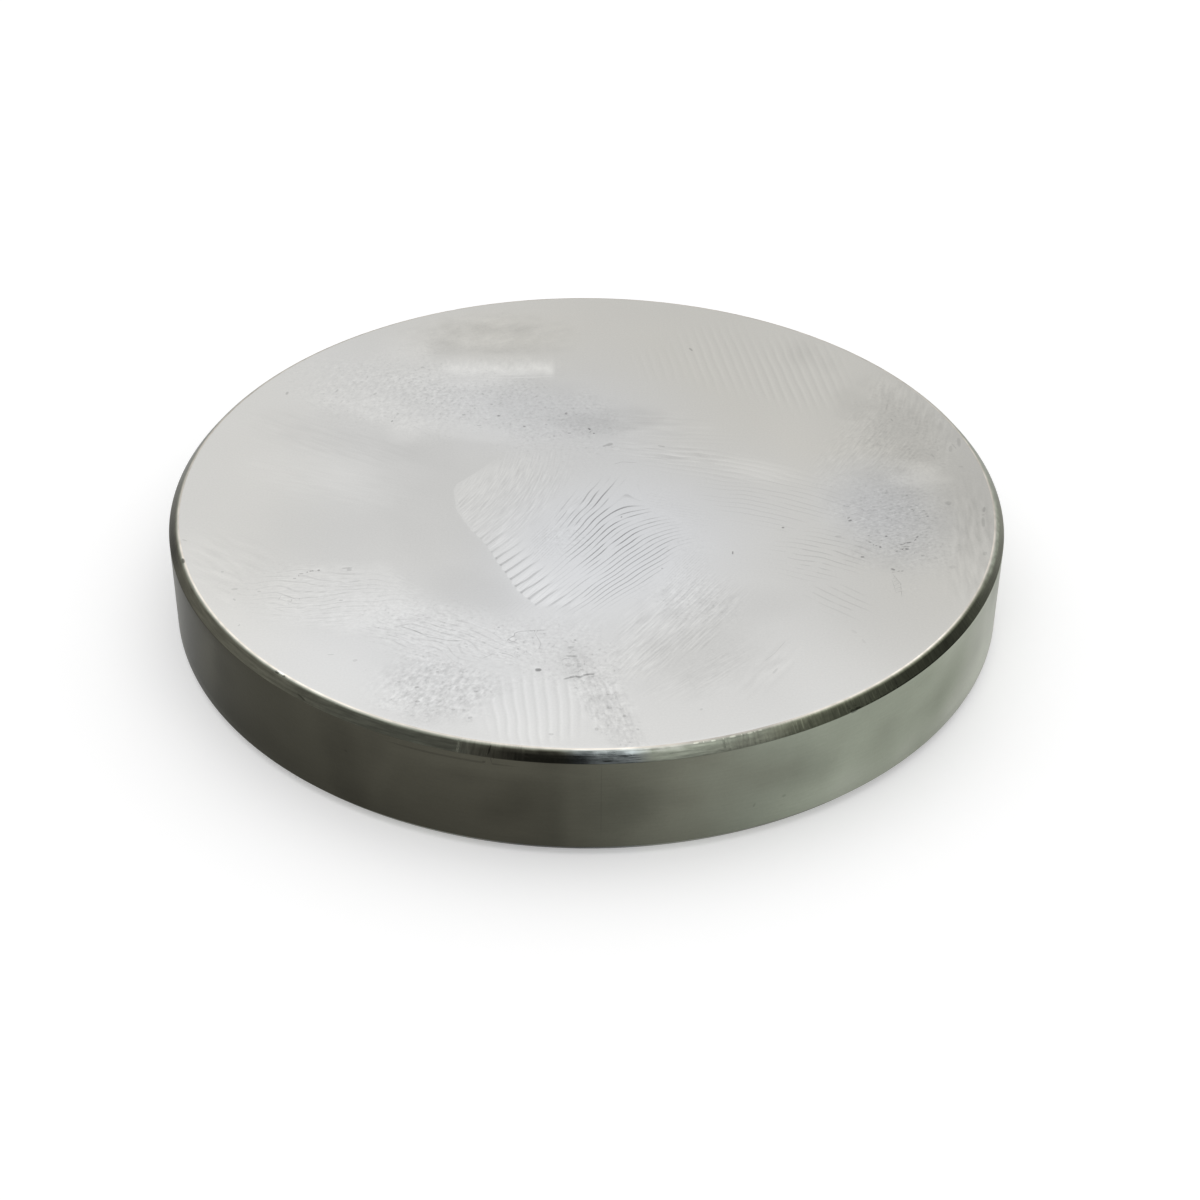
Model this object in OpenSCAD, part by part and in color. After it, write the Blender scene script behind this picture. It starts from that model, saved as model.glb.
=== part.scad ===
// Disc magnet: a flat round magnet, sintered in one piece and ground flat on both pole faces,
// with a narrow bevel round each face. Millimetres. The origin is the centre of the lower pole
// face, and +Z is the magnetic axis.

/* [Disc] */
// Outer diameter of the disc
disc_d = 44; // [20:0.5:80]
// Thickness over both pole faces
disc_t = 6; // [3:0.5:20]

/* [Edges] */
// How far the bevel reaches in over the pole face
bevel_w = 0.43; // [0.2:0.01:1]
// How far the bevel reaches down the wall
bevel_h = 0.5; // [0.2:0.01:1]
// Radius of the rounded edge between the pole face and the bevel
face_edge_r = 0.3; // [0.05:0.01:0.35]
// Radius of the rounded edge between the bevel and the wall
wall_edge_r = 0.1; // [0.05:0.01:0.3]

/* [Hidden] */

disc_r = disc_d / 2;

// Smoothness of the disc's outline, and the chords in each rounded edge
outline_sides = 240;
edge_steps = 5;

// Corners of the half section, from the axis out along the lower face, up the wall and back:
// the distance from the axis, the height, and the radius that rounds the corner
section = [
    [0, 0, 0],
    [disc_r - bevel_w, 0, face_edge_r],
    [disc_r, bevel_h, wall_edge_r],
    [disc_r, disc_t - bevel_h, wall_edge_r],
    [disc_r - bevel_w, disc_t, face_edge_r],
    [0, disc_t, 0]
];

function flat(corner) = [corner[0], corner[1]];
function unit(v) = v / norm(v);
function turned(v, angle) = [
    v[0] * cos(angle) - v[1] * sin(angle),
    v[0] * sin(angle) + v[1] * cos(angle)
];

// The arc that rounds corner b, between its neighbours a and c, with radius r
function rounded(a, b, c, r) =
    let (
        to_a = unit(a - b),
        to_c = unit(c - b),
        half_angle = acos(to_a * to_c) / 2,
        centre = b + unit(to_a + to_c) * r / sin(half_angle),
        spoke = b + to_a * r / tan(half_angle) - centre,
        sweep = 180 - 2 * half_angle
    )
    [for (step = [0 : edge_steps]) centre + turned(spoke, sweep * step / edge_steps)];

// The half section with its edges rounded
function outline() = [
    for (i = [0 : len(section) - 1])
        each section[i][2] == 0
            ? [flat(section[i])]
            : rounded(flat(section[i - 1]), flat(section[i]), flat(section[i + 1]), section[i][2])
];

// The sintered disc, bevelled alike on both faces and plated all over
module magnet_disc() {
    color([0.80, 0.80, 0.79])
        rotate_extrude($fn = outline_sides)
            polygon(outline());
}

magnet_disc();
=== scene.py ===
"""Disc magnet: a nickel-plated sintered disc that lies on a pale floor.

The CAD disc is replaced by one finer mesh of the same form. It carries the low relief of the ground
face: shallow ridges, the step in the middle, pits, and the nicks along its edge. Finer lines, grain
and tone come from the materials. The surface map below is in millimetres, in the part's own frame.
"""
import math
from typing import NamedTuple

import bpy
import numpy as np
from mathutils import Matrix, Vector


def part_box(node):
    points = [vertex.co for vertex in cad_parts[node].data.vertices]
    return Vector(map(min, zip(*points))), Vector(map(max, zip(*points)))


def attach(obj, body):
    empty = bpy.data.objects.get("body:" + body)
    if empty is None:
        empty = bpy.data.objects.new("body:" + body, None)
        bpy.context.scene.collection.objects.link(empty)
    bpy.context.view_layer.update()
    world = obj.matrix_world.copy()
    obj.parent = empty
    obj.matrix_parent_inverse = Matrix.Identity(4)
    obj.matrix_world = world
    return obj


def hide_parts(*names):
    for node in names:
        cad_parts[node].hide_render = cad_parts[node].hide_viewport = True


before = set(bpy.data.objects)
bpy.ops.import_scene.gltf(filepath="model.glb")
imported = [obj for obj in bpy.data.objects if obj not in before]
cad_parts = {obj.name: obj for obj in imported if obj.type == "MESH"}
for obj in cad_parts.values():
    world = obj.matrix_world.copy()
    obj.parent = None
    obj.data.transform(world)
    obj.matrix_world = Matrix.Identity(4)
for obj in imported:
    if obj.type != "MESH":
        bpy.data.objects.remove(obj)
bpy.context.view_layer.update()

MM = 0.001

# Overall size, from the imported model
LOW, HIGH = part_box("magnet_disc")
DISC_R = (HIGH[0] - LOW[0]) / 2 / MM
DISC_T = (HIGH[2] - LOW[2]) / MM

# Edges, as in the part's source
BEVEL_W = 0.43
BEVEL_H = 0.50
FACE_EDGE_R = 0.30
WALL_EDGE_R = 0.10

# Mesh density: cells across the upper face and across the plainer lower face
TOP_CELLS = 256
BOTTOM_CELLS = TOP_CELLS // 4
# How far inside the rim's last ring the lower face's grid ends
BOTTOM_INSET = 0.5
# Steps along each stretch of the rim, from the upper face down: its edge, the bevel, the wall's edge,
# the wall, and the same on the plainer lower side
FACE_EDGE_STEPS = 4
BEVEL_STEPS = 3
WALL_EDGE_STEPS = 3
WALL_STEPS = 8
LOW_WALL_EDGE_STEPS = 2
LOW_BEVEL_STEPS = 1
LOW_FACE_EDGE_STEPS = 3
# Slots of the mesh's materials
SLOTS = {"face": 0, "bevel": 1, "wall": 2, "under": 3}


def unit(v):
    return v / np.linalg.norm(v)


def smooth_step(low, high, value):
    t = np.clip((value - low) / (high - low), 0.0, 1.0)
    return t * t * (3.0 - 2.0 * t)


def window(rise, fall, value):
    """1 between a rising and a falling slope, 0 outside them."""
    return smooth_step(*rise, value) * (1.0 - smooth_step(*fall, value))


def turned(dx, dy, degrees):
    """Distances along and across a direction."""
    c, s = math.cos(math.radians(degrees)), math.sin(math.radians(degrees))
    return dx * c + dy * s, dy * c - dx * s


# Cells of the random field before it repeats, and the size at which it closes round the rim
CLOUD_CELLS = 96
RIM_CELL = 2 * math.pi * DISC_R / CLOUD_CELLS


def cloud(x, y, size, seed):
    """A smooth random field from -1 to 1, with blotches about size mm wide. Each one has its own seed."""
    side = CLOUD_CELLS
    lattice = np.random.default_rng(seed).uniform(-1.0, 1.0, (side, side))
    u = x / size + side / 2
    v = y / size + side / 2
    i = np.floor(u).astype(int)
    j = np.floor(v).astype(int)
    a = smooth_step(0.0, 1.0, u - i)
    b = smooth_step(0.0, 1.0, v - j)

    def corner(di, dj):
        return lattice[(i + di) % side, (j + dj) % side]

    near = corner(0, 0) * (1 - a) + corner(1, 0) * a
    far = corner(0, 1) * (1 - a) + corner(1, 1) * a
    return near * (1 - b) + far * b


# The disc's own section

def rounded_corner(before, corner, after, radius, steps):
    """Points of the arc that rounds a corner of the section."""
    to_before = unit(before - corner)
    to_after = unit(after - corner)
    half_angle = math.acos(float(to_before @ to_after)) / 2
    centre = corner + unit(to_before + to_after) * radius / math.sin(half_angle)
    spoke = corner + to_before * radius / math.tan(half_angle) - centre
    sweep = 2 * half_angle - math.pi
    points = []
    for step in range(steps + 1):
        turn = sweep * step / steps
        c, s = math.cos(turn), math.sin(turn)
        points.append(centre + np.array([c * spoke[0] - s * spoke[1], s * spoke[0] + c * spoke[1]]))
    return points


def between(start, end, steps):
    """Points that divide a straight stretch, without its ends."""
    return [start + (end - start) * k / steps for k in range(1, steps)]


def rim_section():
    """The section from the upper face's flat, over the bevel, the wall and the lower bevel."""
    axis_top = np.array([0.0, DISC_T])
    face_corner = np.array([DISC_R - BEVEL_W, DISC_T])
    wall_corner = np.array([DISC_R, DISC_T - BEVEL_H])
    low_wall_corner = np.array([DISC_R, BEVEL_H])
    low_face_corner = np.array([DISC_R - BEVEL_W, 0.0])
    axis_bottom = np.array([0.0, 0.0])
    arcs = [
        rounded_corner(axis_top, face_corner, wall_corner, FACE_EDGE_R, FACE_EDGE_STEPS),
        rounded_corner(face_corner, wall_corner, low_wall_corner, WALL_EDGE_R, WALL_EDGE_STEPS),
        rounded_corner(wall_corner, low_wall_corner, low_face_corner, WALL_EDGE_R, LOW_WALL_EDGE_STEPS),
        rounded_corner(low_wall_corner, low_face_corner, axis_bottom, FACE_EDGE_R, LOW_FACE_EDGE_STEPS),
    ]
    points = list(arcs[0])
    for arc, steps in zip(arcs[1:], [BEVEL_STEPS, WALL_STEPS, LOW_BEVEL_STEPS]):
        points += between(points[-1], arc[0], steps) + list(arc)
    bands = ["bevel"] * (FACE_EDGE_STEPS + BEVEL_STEPS)
    bands += ["wall"] * (WALL_EDGE_STEPS + WALL_STEPS + LOW_WALL_EDGE_STEPS)
    bands += ["bevel"] * (LOW_BEVEL_STEPS + LOW_FACE_EDGE_STEPS)
    return np.array(points), bands


# Surface map of the upper face

def oval(x, y, at, half, turn, soft, ragged, seed):
    """1 inside an oval, 0 outside, with a soft and if wanted ragged border."""
    along, across = turned(x - at[0], y - at[1], turn)
    reach = np.hypot(along / half[0], across / half[1])
    if ragged:
        reach = reach + ragged * cloud(x, y, 1.3, seed) + 0.5 * ragged * cloud(x, y, 0.5, seed + 1)
    return 1.0 - smooth_step(1.0 - soft, 1.0 + soft, reach)


# Lighter and darker areas: middle, half sizes, turn in degrees, softness, raggedness, change of tone
AREAS = [
    # the light falls off to the far side and to the right
    ((-4, -21), (22, 12), 0, 0.9, 0, 0.085),
    ((-13, -15), (6, 5), -45, 0.9, 0, 0.015),
    ((-4, -21), (2.5, 2), 0, 0.9, 0, 0.03),
    ((12, 15), (22, 14), -45, 0.9, 0, -0.14),
    ((21.5, -1), (6, 13), 0, 0.8, 0, -0.155),
    ((-20, 4), (6, 14), 0, 0.9, 0, 0.04),
    # mottled cloud at the upper left, with darker blots
    ((-5.6, 16.4), (3.9, 2.3), 4, 0.55, 0.25, -0.055),
    ((-6.1, 17.8), (0.7, 0.5), 0, 0.9, 0.4, -0.075),
    ((-8.2, 17.7), (0.6, 0.7), 0, 0.9, 0.4, -0.06),
    ((-4.1, 17.5), (0.7, 0.5), 0, 0.9, 0.4, -0.05),
    ((-8.3, 15.5), (0.7, 1), 0, 0.8, 0.4, -0.075),
    ((-5.9, 16.1), (1.6, 0.7), 0, 0.8, 0.3, 0.035),
    ((-4.8, 15.1), (2.6, 0.5), 2, 0.8, 0.4, -0.045),
    # light patches round it
    ((-10.4, 15.2), (1.6, 1.4), 0, 0.7, 0.2, 0.04),
    ((-11.5, 11.5), (4.5, 2.6), 30, 0.8, 0.2, 0.02),
    ((-6.3, 11.4), (1.5, 0.5), 6, 0.7, 0.3, 0.07),
    ((-8.6, 12.2), (2, 1.3), 0, 0.8, 0.3, 0.035),
    ((-6.2, 8.4), (2.6, 1.6), -25, 0.8, 0.3, 0.03),
    # dark grain under the bright bar, darkest where it ends
    ((-2.2, 8.6), (3.9, 2.5), -28, 0.45, 0.35, -0.035),
    ((-0.2, 6.8), (1.5, 1.1), -30, 0.7, 0.3, -0.07),
    ((2, 7.3), (2.1, 1.2), 0, 0.45, 0.25, -0.06),
    # bright lower border of the grain, and the smooth dark area below it
    ((-11.3, 8.1), (3, 1.2), -30, 0.6, 0.3, 0.05),
    ((-6.6, 6.2), (3.2, 0.9), -16, 0.4, 0.2, 0.05),
    ((-10.1, 6), (0.9, 1), 0, 0.6, 0.2, 0.06),
    ((-7.2, 3.6), (3.2, 1.6), -16, 0.35, 0.1, -0.025),
    ((-13.8, 5.6), (4, 1.9), -25, 0.6, 0.2, -0.05),
    ((-13.8, 1.3), (3.6, 2), -18, 0.7, 0.2, 0.03),
    ((-7.6, -3), (2.8, 8), 14, 0.5, 0.1, -0.05),
    ((-13.6, -4.2), (3.4, 2.6), 0, 0.9, 0.1, -0.045),
    ((-5.6, -9.2), (2.4, 1.7), -35, 0.5, 0.1, -0.045),
    # light textured area at the lower left, with its arched upper border
    ((-12.2, -9.5), (4, 2.9), -14, 0.18, 0.12, 0.05),
    ((-8.3, -11.9), (5.2, 2.2), -20, 0.4, 0.15, 0.04),
    ((-13.4, -15.2), (5, 2.6), -45, 0.7, 0, 0.07),
    # dark grainy patch near the front, the light comb beside it and the dark column
    ((-7, -16.9), (2.7, 2.2), -18, 0.25, 0.4, -0.05),
    ((-2.6, -18.4), (2.4, 2.6), 0, 0.5, 0.15, 0.045),
    ((-0.7, -14.8), (0.8, 1.4), 0, 0.6, 0.4, -0.05),
    ((0.9, -18), (0.8, 3.4), 20, 0.4, 0.4, -0.07),
    # pale swirl in the middle: a glossier patch, its reflection of the bright studio painted in as a paler
    # tone
    ((1.2, -4.6), (4.6, 5.6), -20, 0.6, 0.05, 0.07),
    ((-0.8, -9), (2.6, 3), 0, 0.7, 0, 0.035),
    ((4.6, -8.2), (1.2, 1.4), 0, 0.8, 0.1, 0.03),
    # lower right: darker diagonals, smooth pale area
    ((5.6, -14.2), (3, 2.2), 40, 0.5, 0.2, -0.075),
    ((7.6, -10.2), (2.4, 1.4), 10, 0.7, 0, -0.05),
    ((13.5, -10), (3.2, 6), 20, 0.8, 0, -0.06),
    ((11.3, -15.4), (2.4, 4), 0, 0.6, 0, 0.02),
    ((9.5, -14.5), (8.5, 6), 15, 0.8, 0, -0.055),
    # right: dark pitted patch, dark hatch above it, light lumps between them
    ((16, -2.6), (2.8, 4.3), 12, 0.5, 0.3, -0.065),
    ((17.4, 7.2), (2, 3.6), 12, 0.5, 0.35, -0.07),
    ((14.8, 9.3), (0.9, 1.4), 0, 0.5, 0.3, -0.04),
    ((17.8, 1.8), (1.3, 1), 20, 0.6, 0.5, 0.09),
    # upper right: soft smudges between the ridges
    ((12.5, 14.9), (0.7, 1.2), 0, 0.9, 0.2, -0.045),
    ((13.8, 13.6), (0.5, 0.8), 0, 0.9, 0.2, -0.03),
    # waves right of the middle
    ((9.2, 2.3), (1.9, 0.9), -22, 0.7, 0.1, 0.06),
    # along the border, at the left and at the right end
    ((-19.8, -9.6), (2.2, 5.5), 26, 0.8, 0, 0.06),
    ((21, -1.6), (1.8, 4), 0, 0.8, 0, -0.05),
]

# The bright bar: where it comes in from the left, and where it is cut off on the right
BAR_STARTS = (-8.9, -7.1)
BAR_ENDS = (-2.1, -1.85)
# Its height on the face, half width and gain in tone, and its halo: share of the gain, width against
# the bar's, and distance above the bar
BAR_Y = 12.85
BAR_HALF = 0.62
BAR_GAIN = 0.15
HALO_GAIN = 0.45
HALO_WIDE = 1.9
HALO_UP = 0.25

# Warmer and cooler areas, in the columns of AREAS
HUES = [
    ((3, 19), (13, 6), 0, 0.8, 0, 0.9),
    ((-5.8, 16.8), (4, 2.4), 0, 0.7, 0, 0.35),
    ((11.5, 10.5), (6.5, 7.5), 0, 0.8, 0, 1.1),
    ((15.6, -1.4), (2.6, 4.2), 12, 0.8, 0, -1.2),
    ((20, -3), (7, 14), 0, 0.8, 0, 0.9),
    # cooler in the middle swirl, part of its painted reflection
    ((1, -5), (5.5, 6.5), -15, 0.7, 0, -1),
    ((-3, 8), (6, 3.5), -25, 0.8, 0, -0.5),
    ((-6.5, -14.5), (7, 5), -20, 0.8, 0, -0.5),
    ((-19, 0), (4, 16), 0, 0.8, 0, 0.4),
]

# Grain of light and dark specks: the columns of AREAS, with strength last
GRAIN = [
    ((-6, 16.6), (3.9, 2.4), 4, 0.4, 0.3, 0.35),
    ((-11.5, 9.6), (5.2, 3), -28, 0.5, 0.3, 0.75),
    ((-3.4, 8.4), (5.6, 2.7), -24, 0.4, 0.3, 1),
    ((-6.4, 11.4), (4.6, 1.6), 0, 0.5, 0.3, 0.6),
    ((-10.4, 13.4), (2.6, 2.4), 0, 0.6, 0.3, 0.5),
    ((-1.5, 3.8), (3.6, 2), -20, 0.7, 0.3, 0.35),
    ((-12.2, -9.5), (4, 2.9), -14, 0.3, 0.2, 0.25),
    ((-7, -12.6), (4.8, 2.2), -15, 0.4, 0.25, 0.75),
    ((-7, -16.9), (2.8, 2.4), -18, 0.3, 0.4, 1.1),
    ((-1.2, -14.2), (3, 2.6), -30, 0.5, 0.3, 0.9),
    ((0.8, -17.8), (1.1, 3.8), 20, 0.4, 0.3, 1.2),
    ((-0.9, -4.6), (1.3, 1.5), 0, 0.6, 0.2, 0.8),
    ((4.6, -4.2), (1.4, 4.2), 12, 0.8, 0.2, 0.45),
    ((5, -9.6), (2.2, 1.6), -20, 0.7, 0.3, 0.6),
    ((-8.2, -10.8), (3, 1.4), -40, 0.6, 0.2, 0.45),
    ((15.8, -2.8), (2.9, 4.8), 12, 0.4, 0.35, 0.95),
    ((17.4, 4.8), (2.4, 5.4), 6, 0.5, 0.3, 0.65),
    ((-17, -8.4), (2, 2.6), 20, 0.8, 0.3, 0.3),
    ((5, -14), (3.4, 3.4), 0, 0.7, 0.2, 0.3),
]


class Patch(NamedTuple):
    """A patch of strokes that run side by side: grinding lines, ridges or streaks."""
    # the oval that it fills: middle, half sizes, turn
    at: tuple
    half: tuple
    turn: float
    # direction of its strokes, distance between two, and how far one runs before it changes
    grain: float
    pitch: float
    length: float
    # softness of the oval's border, and strength inside it
    soft: float
    strength: float
    # how fast the strokes spread along their way, and how fast they curve, past bend_from if it is given
    fan: float = 0.0
    bend: float = 0.0
    bend_from: float = None
    # where across the patch the curve dies out
    bend_side: tuple = None
    # how far a stroke strays from its line, as a share of the pitch
    wander: float = 0.14
    # the patch ends at the step
    right_of_step: bool = False
    # more ovals that it fills: middle, half sizes, turn, softness, strength
    more: tuple = ()


# Raggedness of every patch's border, and the shift that gives each patch its own stretch of noise
PATCH_RAGGED = 0.12
PATCH_SHIFT = (7.3, 31.0)

# Thin lines left by the grinding wheel: grooves, drawn dark in the colour as painted shade
LINES = [
    # the swirl in the middle: steep at its upper left, bent down to the right at its upper right
    Patch((1.3, -4.4), (3.1, 1.6), 58, 55, 0.32, 2.8, 0.45, 1.05, bend=0.11, bend_from=0.5,
          bend_side=(0.2, 2), fan=-0.05, wander=0.16, right_of_step=True,
          more=(((2.1, -6.7), (4, 1.6), 52, 0.4, 0.8), ((0.6, -2.3), (2.9, 1.8), 66, 0.5, 1),
          ((-1.7, -7.9), (3.2, 1.2), 48, 0.5, 0.2), ((3.8, -3.5), (1.2, 1.6), 0, 0.7, 0.4))),
    # short dashes round it
    Patch((-1.3, -3.8), (2.8, 1), 62, 60, 0.15, 0.3, 0.5, 0.34, right_of_step=True),
    Patch((4.4, -1.6), (2.2, 1.2), -30, 10, 0.15, 0.25, 0.7, 0.22),
    Patch((4.9, -7.6), (1.1, 2.4), 0, 58, 0.15, 0.25, 0.6, 0.24),
    # faint lines to its right, with ragged darker ends
    Patch((10.4, -1), (3.8, 2.6), -26, -22, 0.42, 3, 0.5, 0.16, bend=0.03, wander=0.25),
    Patch((12.2, -5.3), (2.1, 2.6), -24, -21, 0.42, 1.3, 0.6, 0.25, bend=0.03, wander=0.35),
    Patch((12.6, -9.6), (1.6, 1.1), -50, -40, 0.5, 1.2, 0.6, 0.18),
    # short broken lines at the lower left
    Patch((-12.9, -9.5), (3.6, 2.3), -14, 2, 0.44, 0.7, 0.5, 0.22, wander=1.1),
    Patch((-7.4, -12.8), (4, 1.6), -22, -26, 0.42, 0.6, 0.5, 0.24, wander=1),
]

# Shallow rounded ridges
RIDGES = [
    # upper right, nearly upright
    Patch((11.8, 12.6), (3.7, 2.8), -83, -81, 0.52, 5, 0.35, 0.8, wander=0.08,
          more=(((8, 14.2), (3.8, 2.4), -74, 0.5, 0.6), ((4.4, 13.6), (1.7, 1.7), 0, 0.7, 0.35))),
    # right of the middle: waves that turn down to the right
    Patch((6.8, 2.9), (4.6, 1.4), -18, -16, 0.46, 5, 0.5, 0.7, bend=0.022, wander=0.4),
    Patch((5.3, 5.6), (2.4, 0.8), -4, -3, 0.42, 4, 0.6, 0.4),
    # front edge, upright
    Patch((-2.3, -18.4), (2.4, 2.7), -6, -85, 0.5, 6, 0.25, 1.2, fan=0.03),
    # far right, upright and soft
    Patch((19.6, -3.6), (4.6, 1.5), 86, 88, 0.62, 3, 0.6, 0.35, wander=0.5),
]

# Irregular streaks
STREAKS = [
    Patch((-4.4, -1.2), (4.8, 2.7), 68, 66, 0.11, 1.3, 0.35, 1.15, bend=-0.03, right_of_step=True),
    Patch((-1.4, -2.9), (3, 1.3), 62, 62, 0.1, 1, 0.6, 0.9, right_of_step=True),
    Patch((-11.3, 9.9), (5, 3), -30, 68, 0.24, 0.5, 0.5, 0.8),
    Patch((-6, 16.9), (4.4, 2.6), 4, 25, 0.6, 1, 0.6, 0.5),
    Patch((-5.6, 13.4), (3.7, 1), 2, 88, 0.24, 0.6, 0.4, 0.7),
    Patch((-4.2, 12.1), (2.5, 0.5), 2, 1, 0.15, 2, 0.5, 0.8),
    Patch((4.2, -12), (4.6, 2.2), 56, 56, 0.13, 1.4, 0.45, 1.4),
    Patch((5.6, -15.6), (3, 1.5), 34, 44, 0.11, 1.2, 0.5, 0.7),
    Patch((8.7, -15.3), (2.2, 0.9), 56, 55, 0.35, 2, 0.5, 0.8),
    Patch((15.6, 4.2), (5.2, 2.5), 68, 60, 0.13, 0.8, 0.5, 0.8),
    Patch((15.8, -2), (2.6, 4.4), 12, 25, 0.13, 0.3, 0.4, 0.9),
    Patch((18.2, 8), (3.6, 1.6), 110, 76, 0.25, 1.6, 0.5, 1),
    Patch((19.8, -4.6), (5, 1.5), 84, 87, 0.3, 1.8, 0.5, 0.8),
    Patch((-18.1, -7.3), (3, 1.8), -62, -36, 0.4, 2.2, 0.6, 0.7),
    Patch((-14, 5), (4.4, 2), -28, -30, 0.3, 2.4, 0.6, 0.45),
    Patch((-13.4, 0.8), (4.2, 1.8), -18, -20, 0.3, 2.4, 0.7, 0.35),
    Patch((-13, -9.5), (3.7, 2.5), -14, 7, 0.11, 0.6, 0.45, 0.8),
    Patch((-9.7, -9.6), (1.3, 2.4), 22, -38, 0.11, 0.5, 0.5, 0.7),
    Patch((-6.8, -12.9), (4.2, 1.7), -20, -27, 0.12, 0.6, 0.5, 1),
    Patch((-7, -16.8), (2.8, 2.3), -18, 60, 0.22, 0.4, 0.4, 1.7),
    Patch((-0.6, -12.2), (1.8, 1.8), 0, 60, 0.24, 0.8, 0.5, 0.5),
    Patch((0.8, -17.8), (1.1, 3.6), 20, 104, 0.2, 0.6, 0.4, 1.3),
    Patch((4.6, 3.9), (3, 1), -14, -10, 0.26, 1.8, 0.5, 0.9),
    Patch((3.4, 6.9), (2.8, 1.4), -4, -2, 0.4, 2.2, 0.5, 0.6),
]

# The step that runs down the left of the middle: smooth and dark to its left, textured to its right.
# Where it crosses each height of the face
STEP_Y = [-10.2, -9.0, -7.7, -6.5, -5.7, -4.8, -3.5, -1.65, -0.7, 0.2, 0.75, 1.8, 3.1, 4.4]
STEP_X = [-2.6, -3.5, -4.05, -4.6, -4.9, -5.3, -6.1, -6.9, -7.0, -7.1, -7.0, -6.1, -5.1, -4.2]
# Heights between which it comes in and goes out, the width over which the face rises again to its left,
# how much darker it is there, and the width over which that shade fades
STEP_STARTS = (-10.6, -9.6)
STEP_ENDS = (1.0, 4.6)
STEP_REACH = 5.0
STEP_SHADE = 0.015
SHADE_REACH = 3.0
# The comb of wedges along its lower half: their direction, their distance apart, the place of one gap
# and how long they are
COMB_GRAIN = 50.0
COMB_PITCH = 0.60
COMB_GAP_AT = (-4.45, -6.85)
COMB_LONG = 2.4
# Heights between which the comb comes in, turns faint and goes out, and the faint part's strength
COMB_STARTS = (-10.6, -9.9)
COMB_FADES = (-6.3, -5.2)
COMB_ENDS = (-4.2, -2.8)
COMB_FAINT = 0.45

# Depth of each kind of relief
RIDGE_DEPTH = 0.0025
STREAK_DEPTH = 0.0020
GRAIN_DEPTH = 0.0030
STEP_DEPTH = 0.010
COMB_DEPTH = 0.004
PIT_DEPTH = 0.020
# The border of the face that stays level, and where the relief starts to fade, both from the rim
LEVEL_BORDER = 0.75
LEVEL_FADE = 1.1

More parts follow.
